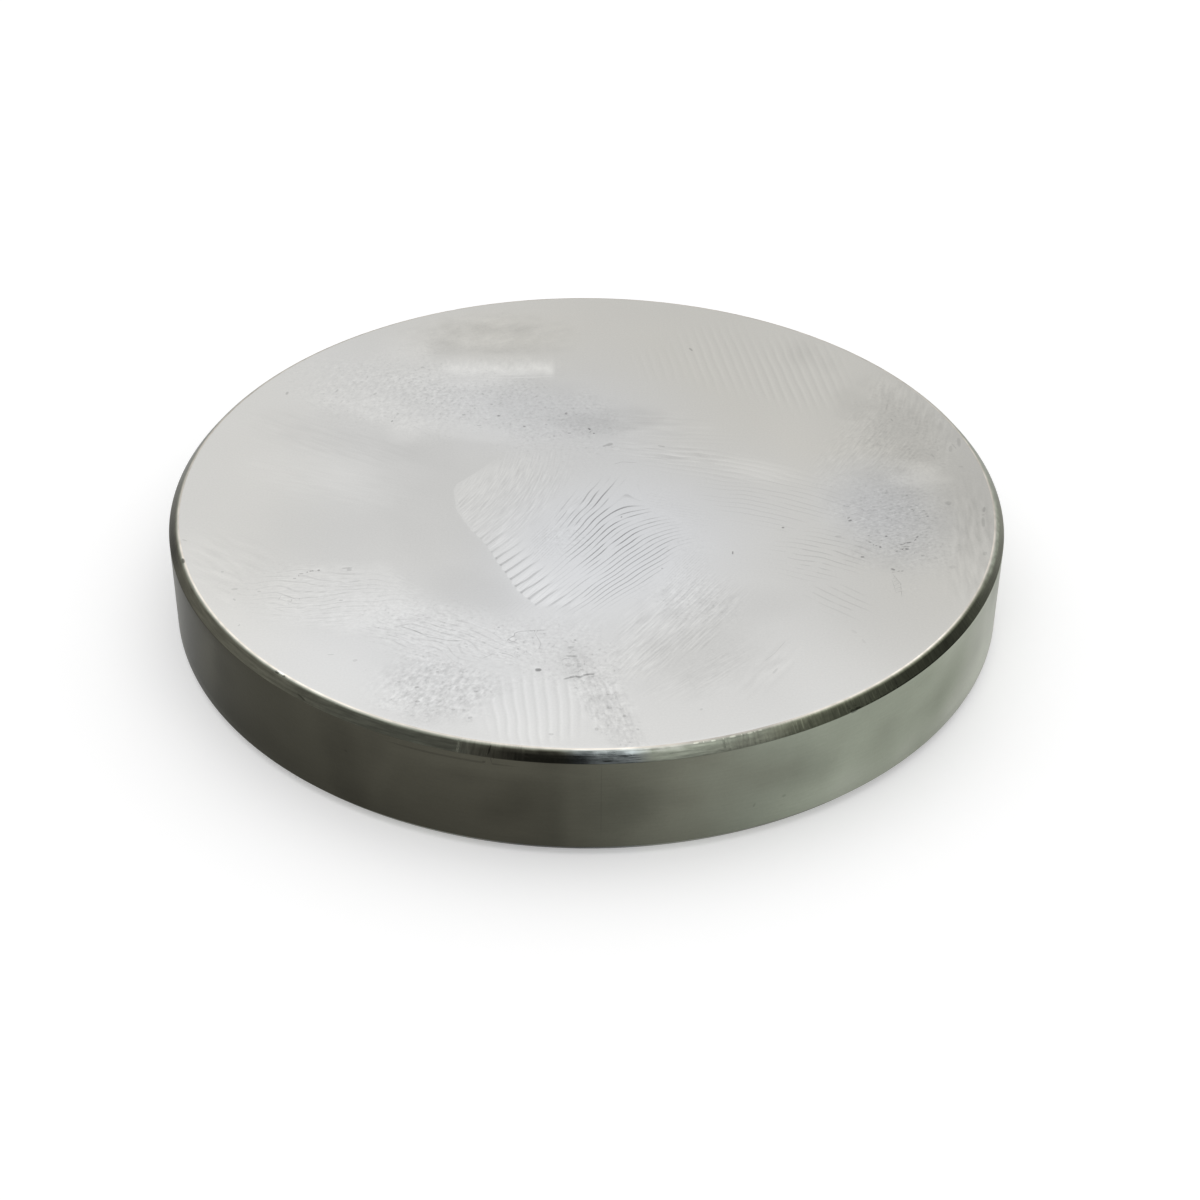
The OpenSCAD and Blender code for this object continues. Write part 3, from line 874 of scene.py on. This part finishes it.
def store(mesh, name, values, where=None):
    """Keep a number or a vector for each point of the mesh, zero where none is given."""
    if where is not None:
        whole = np.zeros((len(mesh.vertices),) + values.shape[1:])
        whole[where] = values
        values = whole
    kind, field = ("FLOAT_VECTOR", "vector") if values.ndim == 2 else ("FLOAT", "value")
    attribute = mesh.attributes.new(name, kind, "POINT")
    attribute.data.foreach_set(field, values.astype(np.float32).ravel())


def round_rim(azimuth):
    """Distance round the rim to an azimuth in degrees."""
    return np.radians(azimuth) * DISC_R


def tone_round(degrees, stops):
    return np.interp(degrees, [a for a, _ in stops], [tone for _, tone in stops], period=360.0)


def mixed(first, second, share):
    """Two tints, mixed by a share for each point."""
    share = share[:, None]
    return np.asarray(first) * (1.0 - share) + np.asarray(second) * share


def rim_marks():
    """The rim's marks, placed by the distance round the rim and the distance down from the face."""
    hatch = [(azimuth, *HATCH_MARK) for azimuth in np.linspace(HATCH_FROM, HATCH_TO, HATCH_COUNT)]
    return [(round_rim(azimuth), -down, *rest) for azimuth, down, *rest in RIM_MARKS + hatch]


def dress_face(disc, mesh):
    where = np.arange(disc.top_count)
    x, y = disc.points[where, 0], disc.points[where, 1]
    ridges = stroke_layer(x, y, RIDGES, 200)
    streaks = stroke_layer(x, y, STREAKS, 300)
    marks = mark_layer(x, y, pit_marks() + crack_marks())
    grain = np.clip(sum_of_areas(x, y, GRAIN, 400), 0.0, 1.4)
    distance, clear = step_place(x, y)
    phase, comb = comb_place(x, y)
    layers = {
        "tone": face_tone(x, y),
        "warmth": np.clip(0.5 + 0.5 * sum_of_areas(x, y, HUES, 600), 0.0, 1.0),
        "lines": stroke_layer(x, y, LINES, 100),
        "ridges": ridges,
        "streaks": streaks,
        "grain": grain,
        "marks": marks,
        "step": np.stack([distance, phase, comb], -1),
        "step_clear": clear,
    }
    for name, values in layers.items():
        store(mesh, name, values, where)
    heights = disc.points[:, 2].copy()
    heights[where] -= face_relief(x, y, ridges, streaks, grain, marks)
    for index, height in enumerate(heights * MM):
        mesh.vertices[index].co.z = height


# The wall's tone: a painted reflection round the rim, with mottle, patches and a lighter or darker lower part
def wall_tone_and_reflection(degrees, along, height):
    areas = [((round_rim(azimuth), level), *rest) for (azimuth, level), *rest in WALL_AREAS]
    low = 1.0 - smooth_step(*WALL_LOW_FADE, height)
    change = 0.07 * cloud(along, 1.3 * height, RIM_CELL, 801) + low * tone_round(degrees, WALL_LOW)
    return tone_round(degrees, WALL_REFLECTION_TONE) * (1.0 + change + sum_of_areas(along, height, areas, 810))


# The bevel's tone: its painted reflection with blotches, and the painted glint along its upper border with
# sparkle
def bevel_reflection_and_glint(degrees, along, down):
    upper = 1.0 - smooth_step(*GLINT_FADE, down)
    sparkle = 1.0 + 0.6 * cloud(along, 3.0 * down, RIM_CELL / 6, 803)
    blotches = 1.0 + 0.10 * cloud(along, 2.0 * down, RIM_CELL, 804)
    return tone_round(degrees, BEVEL_REFLECTION_TONE) * blotches + tone_round(degrees, PAINTED_GLINT) * upper * sparkle


def dress_rim(disc, mesh):
    """Tone with painted reflections and highlights, tint, streaks, marks and nicks of the bevels and the
    wall, ring by ring.
    """
    degrees = np.degrees(disc.angles) % 360.0
    along = round_rim(degrees)
    across = sum(((degrees > start) & (degrees < end)) for start, end in ACROSS) > 0
    cold = 1.0 - smooth_step(0.5, 1.0, abs(degrees - COLD_MIDDLE) / COLD_HALF)
    marks = rim_marks()
    right_half = window(MOSS_IN, MOSS_OUT, degrees)
    silver_side = SILVER_SIDE * smooth_step(*SILVER_IN, degrees)
    far_side = window(FAR_IN, FAR_OUT, degrees)
    # streaks fade where the azimuth jumps back to zero
    seam = smooth_step(0.2, 1.5, np.minimum(degrees, 360.0 - degrees))
    layers = {"rim_tone_and_reflection": [], "rim_tint": [], "rim_streaks": [], "rim_marks": []}
    for level, (down, (_, height)) in enumerate(zip(disc.down, disc.section)):
        down = np.full(disc.around, down)
        height = np.full(disc.around, height)
        round_the_rim = np.stack([along / STREAK_ROUND[0], -down / STREAK_ROUND[1]], -1)
        over_the_bevel = np.stack([along / STREAK_ACROSS[1], -down / STREAK_ACROSS[0]], -1)
        on_bevel = level < BEVEL_LEVELS or height[0] < BEVEL_H
        if on_bevel:
            share = EDGE_SHARE[level] if level < len(EDGE_SHARE) else 0.0
            # the rounded edge's tone, with its highlight line painted in
            edge = tone_round(degrees, EDGE_HIGHLIGHT_TONE) * (1.0 + 0.12 * cloud(along, -down, RIM_CELL / 4, 802))
            tone = share * edge + (1.0 - share) * bevel_reflection_and_glint(degrees, along, down)
            # streaks are stronger in the cold stretch, part of its painted sheen
            strength = np.where(across, 1.1, 1.0 + 2.2 * cold) * (1.0 - 0.7 * share)
        else:
            tone = wall_tone_and_reflection(degrees, along, height)
            strength = 0.25
        silver = np.maximum(smooth_step(*SILVER_TONES, tone), silver_side)
        tint = mixed(mixed(OLIVE, SILVER, silver), BRIGHT, smooth_step(*BRIGHT_TONES, tone))
        tint = mixed(tint, PLAIN, far_side)
        if on_bevel:
            tint = mixed(mixed(tint, MOSS, right_half), CREAM_HIGHLIGHT, np.full(disc.around, share))
            tint = mixed(tint, PAINTED_COLD_SHEEN, cold * (1.0 - share))
        turned_across = across & (level < BEVEL_LEVELS)
        place = np.where(turned_across[:, None], over_the_bevel, round_the_rim)
        ring_layers = (tone, tint, np.column_stack([place, strength * seam]), mark_layer(along, -down, marks))
        for layer, values in zip(layers.values(), ring_layers):
            layer.append(values)
    where = np.concatenate(disc.rings)
    for name, layer in layers.items():
        store(mesh, name, np.concatenate(layer), where)
    cut_nicks(disc, mesh, along)


def cut_nicks(disc, mesh, along):
    for azimuth, at_down, half_long, half_high, depth in NICKS:
        reach = round_rim(azimuth)
        for ring, down in zip(disc.rings[1:], disc.down[1:]):
            hollow = np.hypot((along - reach) / half_long, (down - at_down) / half_high)
            for k in np.nonzero(hollow < 1.0)[0]:
                point = mesh.vertices[int(ring[k])]
                shrink = 1.0 - depth * (1.0 - hollow[k] ** 2) / DISC_R
                point.co.x *= shrink
                point.co.y *= shrink


# Materials

class Nodes:
    """A node tree, with short names for the nodes that the materials use."""

    def __init__(self, tree):
        self.tree = tree
        self.nodes = tree.nodes

    def put(self, socket, value):
        if isinstance(value, bpy.types.NodeSocket):
            self.tree.links.new(value, socket)
        else:
            socket.default_value = value

    def attribute(self, name):
        node = self.nodes.new("ShaderNodeAttribute")
        node.attribute_name = name
        return node.outputs

    def math(self, operation, *values):
        node = self.nodes.new("ShaderNodeMath")
        node.operation = operation
        for socket, value in zip(node.inputs, values):
            self.put(socket, value)
        return node.outputs[0]

    def product(self, first, *others):
        for value in others:
            first = self.math("MULTIPLY", first, value)
        return first

    def layered(self, value, *layers):
        """A value with layers added to it, each times its gain."""
        for layer, gain in layers:
            value = self.math("MULTIPLY_ADD", layer, gain, value)
        return value

    def parts(self, vector):
        node = self.nodes.new("ShaderNodeSeparateXYZ")
        self.put(node.inputs[0], vector)
        return node.outputs

    def vector(self, x, y, z=0.0):
        node = self.nodes.new("ShaderNodeCombineXYZ")
        for socket, value in zip(node.inputs, (x, y, z)):
            self.put(socket, value)
        return node.outputs[0]

    def noise(self, vector, scale, detail=2.0, rough=0.5):
        """Noise about zero, mostly from -0.25 to 0.25."""
        node = self.nodes.new("ShaderNodeTexNoise")
        self.put(node.inputs["Vector"], vector)
        node.inputs["Scale"].default_value = scale
        node.inputs["Detail"].default_value = detail
        node.inputs["Roughness"].default_value = rough
        return self.math("SUBTRACT", node.outputs["Fac"], 0.5)

    def fit(self, value, low, high, to_low=0.0, to_high=1.0, smooth=True):
        node = self.nodes.new("ShaderNodeMapRange")
        node.interpolation_type = "SMOOTHSTEP" if smooth else "LINEAR"
        for socket, item in zip(node.inputs, (value, low, high, to_low, to_high)):
            self.put(socket, item)
        return node.outputs[0]

    def blend(self, factor, first, second):
        node = self.nodes.new("ShaderNodeMix")
        node.data_type = "RGBA"
        self.put(node.inputs["Factor"], factor)
        colours = [socket for socket in node.inputs if socket.type == "RGBA"]
        self.put(colours[0], first)
        self.put(colours[1], second)
        return [socket for socket in node.outputs if socket.type == "RGBA"][0]

    def scale_colour(self, colour, factor):
        node = self.nodes.new("ShaderNodeVectorMath")
        node.operation = "SCALE"
        self.put(node.inputs[0], colour)
        self.put(node.inputs["Scale"], factor)
        return node.outputs[0]

    def place(self):
        return self.nodes.new("ShaderNodeTexCoord").outputs["Object"]

    def mark(self, name):
        """1 at the middle of a mark, fading at its border, times its darkness."""
        along, across, darkness = self.parts(self.attribute(name)["Vector"])
        cubed = self.math("POWER", self.math("ABSOLUTE", along), 3.0)
        reach = self.math("MULTIPLY_ADD", across, across, cubed)
        return self.product(self.fit(reach, 1.6, 0.3), darkness)


class Nickel(Nodes):
    """A metal material for the plating."""

    def __init__(self, name, roughness):
        self.material = bpy.data.materials.new(name)
        self.material.use_nodes = True
        super().__init__(self.material.node_tree)
        self.surface = self.nodes["Principled BSDF"]
        self.surface.inputs["Metallic"].default_value = 1.0
        self.surface.inputs["Roughness"].default_value = roughness

    def colour(self, value):
        self.put(self.surface.inputs["Base Color"], value)

    def roughness(self, value):
        self.put(self.surface.inputs["Roughness"], value)

    def bump(self, height, depth):
        node = self.nodes.new("ShaderNodeBump")
        node.inputs["Distance"].default_value = depth
        self.put(node.inputs["Height"], height)
        self.put(self.surface.inputs["Normal"], node.outputs[0])


# Cells of noise per metre: fine and coarse on the faces, fine on the rim, and cloudy on the lower face
FINE_SCALE = 9000.0
COARSE_SCALE = 4800.0
RIM_SCALE = 7000.0
CLOUDY_SCALE = 420.0

# Roughness of each surface
FACE_ROUGHNESS = 0.36
RIM_ROUGHNESS = 0.30
UNDER_ROUGHNESS = 0.40

# The face's cool and warm colours, the lower face's colour, and what the rim's colour is multiplied by
# in a view along its surface
COOL = (0.640, 0.648, 0.662, 1.0)
WARM = (0.668, 0.656, 0.616, 1.0)
UNDER = (0.60, 0.60, 0.59)
BEVEL_GRAZING = (0.72, 0.72, 0.70, 1.0)
WALL_GRAZING = (0.66, 0.66, 0.64, 1.0)


def ground_face():
    shader = Nickel("ground_face", FACE_ROUGHNESS)
    fine = shader.noise(shader.place(), FINE_SCALE)
    coarse = shader.noise(shader.place(), COARSE_SCALE, 4.0, 0.65)
    grain = shader.attribute("grain")["Fac"]

    # thin lines, with breaks, darkened by painted shade
    along, across, strength = shader.parts(shader.attribute("lines")["Vector"])
    breaks = shader.fit(shader.noise(shader.vector(along, across), 1.2, 1.0), -0.16, 0.03, 0.05, 1.0)
    wave = shader.math("SINE", shader.product(across, 2 * math.pi))
    line = shader.product(shader.fit(wave, 0.64, 1.0), breaks, strength)

    # rounded ridges; in the colour one side of each is lighter and the other darker, painted light and shade
    _, across, strength = shader.parts(shader.attribute("ridges")["Vector"])
    wave = shader.math("SINE", shader.product(across, 2 * math.pi))
    lean = shader.math("SINE", shader.product(across, 4 * math.pi))
    ridge = shader.product(shader.math("MULTIPLY_ADD", lean, 0.4, wave), strength)

    # irregular streaks
    along, across, strength = shader.parts(shader.attribute("streaks")["Vector"])
    streak = shader.product(shader.noise(shader.vector(along, across), 1.0), strength)

    # grain: lumps, and dark specks where the coarse noise is lowest
    lump = shader.product(coarse, grain)
    speck = shader.product(shader.fit(coarse, -0.10, -0.22), grain)

    # the step, and the comb of wedges along it; the wedges' light crests are painted highlight and the dark
    # gaps between them painted shade
    distance, phase, comb = shader.parts(shader.attribute("step")["Vector"])
    comb_wave = shader.math("COSINE", shader.product(phase, 2 * math.pi))
    tip = shader.product(shader.math("ADD", comb_wave, 1.0), comb, -0.09)
    edge = shader.math("ADD", shader.math("MULTIPLY_ADD", coarse, 0.12, distance), tip)
    clear = shader.attribute("step_clear")["Fac"]
    beyond = shader.product(shader.fit(edge, -0.03, 0.05), shader.fit(distance, 3.2, 0.2), clear)
    wedge_starts = shader.fit(distance, 0.0, 0.1)
    wedge_ends = shader.fit(distance, COMB_LONG, 0.5 * COMB_LONG)
    in_comb = shader.product(wedge_starts, wedge_ends, comb)
    narrow = shader.math("MULTIPLY_ADD", distance, -0.10, comb_wave)
    gap = shader.product(shader.fit(narrow, 0.50, 0.85), in_comb)
    wedge = shader.product(shader.fit(comb_wave, 0.4, -0.6), in_comb)

    mark = shader.mark("marks")
    light = shader.layered(shader.attribute("tone")["Fac"], (line, -0.60), (ridge, 0.040), (streak, 0.40),
                           (fine, 0.11), (lump, 0.42), (speck, -0.12), (beyond, 0.065), (wedge, 0.05),
                           (gap, -0.26), (mark, -0.55))
    tint = shader.blend(shader.attribute("warmth")["Fac"], COOL, WARM)
    shader.colour(shader.scale_colour(tint, light))

    height = shader.layered(shader.product(ridge, 0.5), (line, -0.8), (streak, 1.5), (fine, 0.5), (lump, 1.5),
                            (beyond, 0.8), (gap, -1.2), (mark, -2.0))
    shader.bump(height, 0.006 * MM)
    shader.roughness(shader.layered(FACE_ROUGHNESS, (lump, 0.20)))
    return shader.material


def rim_metal(name, streak_gain, bump_depth, grazing):
    """The bevels and the wall: darker, smoother, streaked, with painted reflections and highlights in their
    tone.
    """
    shader = Nickel(name, RIM_ROUGHNESS)
    # the rim's tone carries painted reflections, highlights and glints
    tone = shader.attribute("rim_tone_and_reflection")["Fac"]
    along, across, strength = shader.parts(shader.attribute("rim_streaks")["Vector"])
    streak = shader.product(shader.noise(shader.vector(along, across), 1.0), strength)
    fine = shader.noise(shader.place(), RIM_SCALE)
    mark = shader.mark("rim_marks")
    light = shader.layered(1.0, (streak, streak_gain), (fine, 0.10), (mark, -0.75))
    tint = shader.attribute("rim_tint")["Vector"]
    shader.colour(shader.scale_colour(tint, shader.product(tone, light)))
    shader.roughness(shader.layered(RIM_ROUGHNESS, (streak, 0.10)))
    shader.bump(shader.layered(shader.math("ADD", streak, fine), (mark, -1.0)), bump_depth)
    shader.surface.inputs["Specular Tint"].default_value = grazing
    return shader.material


def under_face():
    """The lower face: plain ground nickel."""
    shader = Nickel("under_face", UNDER_ROUGHNESS)
    cloudy = shader.noise(shader.place(), CLOUDY_SCALE, 3.0)
    fine = shader.noise(shader.place(), FINE_SCALE)
    light = shader.layered(1.0, (cloudy, 0.25), (fine, 0.15))
    shader.colour(shader.scale_colour(UNDER, light))
    shader.bump(fine, 0.004 * MM)
    return shader.material


# Camera, floor and lights

# The camera was fitted to the disc's outline: its height angle, its distance from the disc's
# middle, its roll, and the pixel of the 1200 x 1200 picture on which the middle falls
PICTURE = 1200
FOCAL_PX = 2390.2
CAMERA_ELEVATION = math.radians(34.205)
CAMERA_DISTANCE = 128.67 * MM
CAMERA_ROLL = math.radians(-0.322)
MIDDLE_PX = (586.58, 539.48)
SENSOR_MM = 36.0

# Brightness of the studio's dome behind the disc and on the camera's side
DOME_BACK = 0.865
DOME_FRONT = 0.25
# Softboxes: azimuth and height angle in degrees, distance and sizes in metres, power in watts
SOFTBOXES = {
    "overhead": (110, 78, 0.8, (1.20, 1.00), 1.4),
    "front_right": (-61, 44, 0.8, (0.75, 0.22), 0.7),
}

# The floor: half its size in metres, and its grey
FLOOR_REACH = 3.0
FLOOR_GREY = 0.80
# Its glow, seen straight or in a reflection but lighting nothing else: the level near the disc, the level
# far away, and the distances between which it rises
GLOW_NEAR = 0.33
GLOW_FAR = 1.0
GLOW_FROM = 0.15
GLOW_TO = 0.60


def placed(item, columns, at):
    """Put an object at a place, with its own axes along the given columns."""
    matrix = np.eye(4)
    matrix[:3, :3] = columns
    matrix[:3, 3] = at
    item.matrix_world = Matrix(matrix.tolist())
    bpy.context.scene.collection.objects.link(item)


def add_camera():
    back = np.array([0.0, -math.cos(CAMERA_ELEVATION), math.sin(CAMERA_ELEVATION)])
    right = np.array([1.0, 0.0, 0.0])
    aim = np.stack([right, np.cross(back, right), back])
    to_middle = unit(np.array([(MIDDLE_PX[0] - PICTURE / 2) / FOCAL_PX,
                               (PICTURE / 2 - MIDDLE_PX[1]) / FOCAL_PX, -1.0]))
    forward = np.array([0.0, 0.0, -1.0])
    axis = np.cross(forward, to_middle)
    skew = np.array([[0, -axis[2], axis[1]], [axis[2], 0, -axis[0]], [-axis[1], axis[0], 0]])
    pan = np.eye(3) + skew + skew @ skew / (1 + forward @ to_middle)
    c, s = math.cos(CAMERA_ROLL), math.sin(CAMERA_ROLL)
    roll = np.array([[c, -s, 0], [s, c, 0], [0, 0, 1]])
    axes = roll @ pan @ aim
    middle = np.array([0.0, 0.0, DISC_T / 2 * MM])

    lens = bpy.data.cameras.new("camera")
    lens.sensor_width = SENSOR_MM
    lens.lens = FOCAL_PX / PICTURE * SENSOR_MM
    lens.clip_start = 0.01
    lens.clip_end = 20.0
    camera = bpy.data.objects.new("camera", lens)
    placed(camera, axes.T, middle + back * CAMERA_DISTANCE)
    bpy.context.scene.camera = camera


def add_floor():
    material = bpy.data.materials.new("pale_floor")
    material.use_nodes = True
    shader = Nodes(material.node_tree)
    surface = shader.nodes["Principled BSDF"]
    surface.inputs["Base Color"].default_value = (FLOOR_GREY, FLOOR_GREY, FLOOR_GREY, 1.0)
    surface.inputs["Roughness"].default_value = 1.0
    surface.inputs["Specular IOR Level"].default_value = 0.0
    surface.inputs["Emission Color"].default_value = (1.0, 1.0, 1.0, 1.0)
    path = shader.nodes.new("ShaderNodeLightPath").outputs
    seen = shader.math("MAXIMUM", path["Is Camera Ray"], path["Is Glossy Ray"])
    seen = shader.math("MAXIMUM", seen, path["Is Transmission Ray"])
    x, y, _ = shader.parts(shader.place())
    away = shader.math("SQRT", shader.math("ADD", shader.product(x, x), shader.product(y, y)))
    glow = shader.fit(away, GLOW_FROM, GLOW_TO, GLOW_NEAR, GLOW_FAR)
    shader.put(surface.inputs["Emission Strength"], shader.product(seen, glow))
    mesh = bpy.data.meshes.new("floor")
    corners = [(x * FLOOR_REACH, y * FLOOR_REACH, 0) for x, y in ((-1, -1), (1, -1), (1, 1), (-1, 1))]
    mesh.from_pydata(corners, [], [(0, 1, 2, 3)])
    mesh.materials.append(material)
    floor = bpy.data.objects.new("floor", mesh)
    bpy.context.scene.collection.objects.link(floor)


def add_world():
    """A pale studio: white at the horizon, bright behind the disc, dim on the camera's side."""
    world = bpy.data.worlds.new("studio")
    world.use_nodes = True
    shader = Nodes(world.node_tree)
    coordinates = shader.nodes.new("ShaderNodeTexCoord")
    x, y, z = shader.parts(coordinates.outputs["Generated"])
    front = shader.fit(y, 0.15, -0.45)
    high = shader.fit(z, 0.72, 0.95)
    dim = shader.product(front, shader.math("SUBTRACT", 1.0, high))
    dome = shader.fit(dim, 0.0, 1.0, DOME_BACK, DOME_FRONT, smooth=False)
    above = shader.fit(z, 0.20, 0.36)
    level = shader.fit(above, 0.0, 1.0, 1.0, dome, smooth=False)
    shader.put(shader.nodes["Background"].inputs["Color"], shader.vector(level, level, level))
    bpy.context.scene.world = world


def add_softbox(name, azimuth, elevation, distance, size, power):
    light = bpy.data.lights.new(name, "AREA")
    light.shape = "RECTANGLE"
    light.size, light.size_y = size
    light.energy = power
    a, e = math.radians(azimuth), math.radians(elevation)
    away = np.array([math.cos(e) * math.cos(a), math.cos(e) * math.sin(a), math.sin(e)])
    right = unit(np.cross(np.array([0.0, 0.0, 1.0]), away))
    columns = np.stack([right, np.cross(away, right), away], -1)
    placed(bpy.data.objects.new(name, light), columns, away * distance)


def add_magnet():
    disc = Disc()
    piece = disc.make("magnet_skin")
    dress_face(disc, piece.data)
    dress_rim(disc, piece.data)
    bevel = rim_metal("bevel_band", streak_gain=0.9, bump_depth=0.006 * MM, grazing=BEVEL_GRAZING)
    wall = rim_metal("side_wall", streak_gain=0.5, bump_depth=0.003 * MM, grazing=WALL_GRAZING)
    # in the order of SLOTS
    for material in (ground_face(), bevel, wall, under_face()):
        piece.data.materials.append(material)
    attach(piece, "root")
    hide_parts("magnet_disc")


add_camera()
add_magnet()
add_floor()
add_world()
for box_name, box_setting in SOFTBOXES.items():
    add_softbox(box_name, *box_setting)
bpy.context.scene.view_settings.view_transform = "Standard"
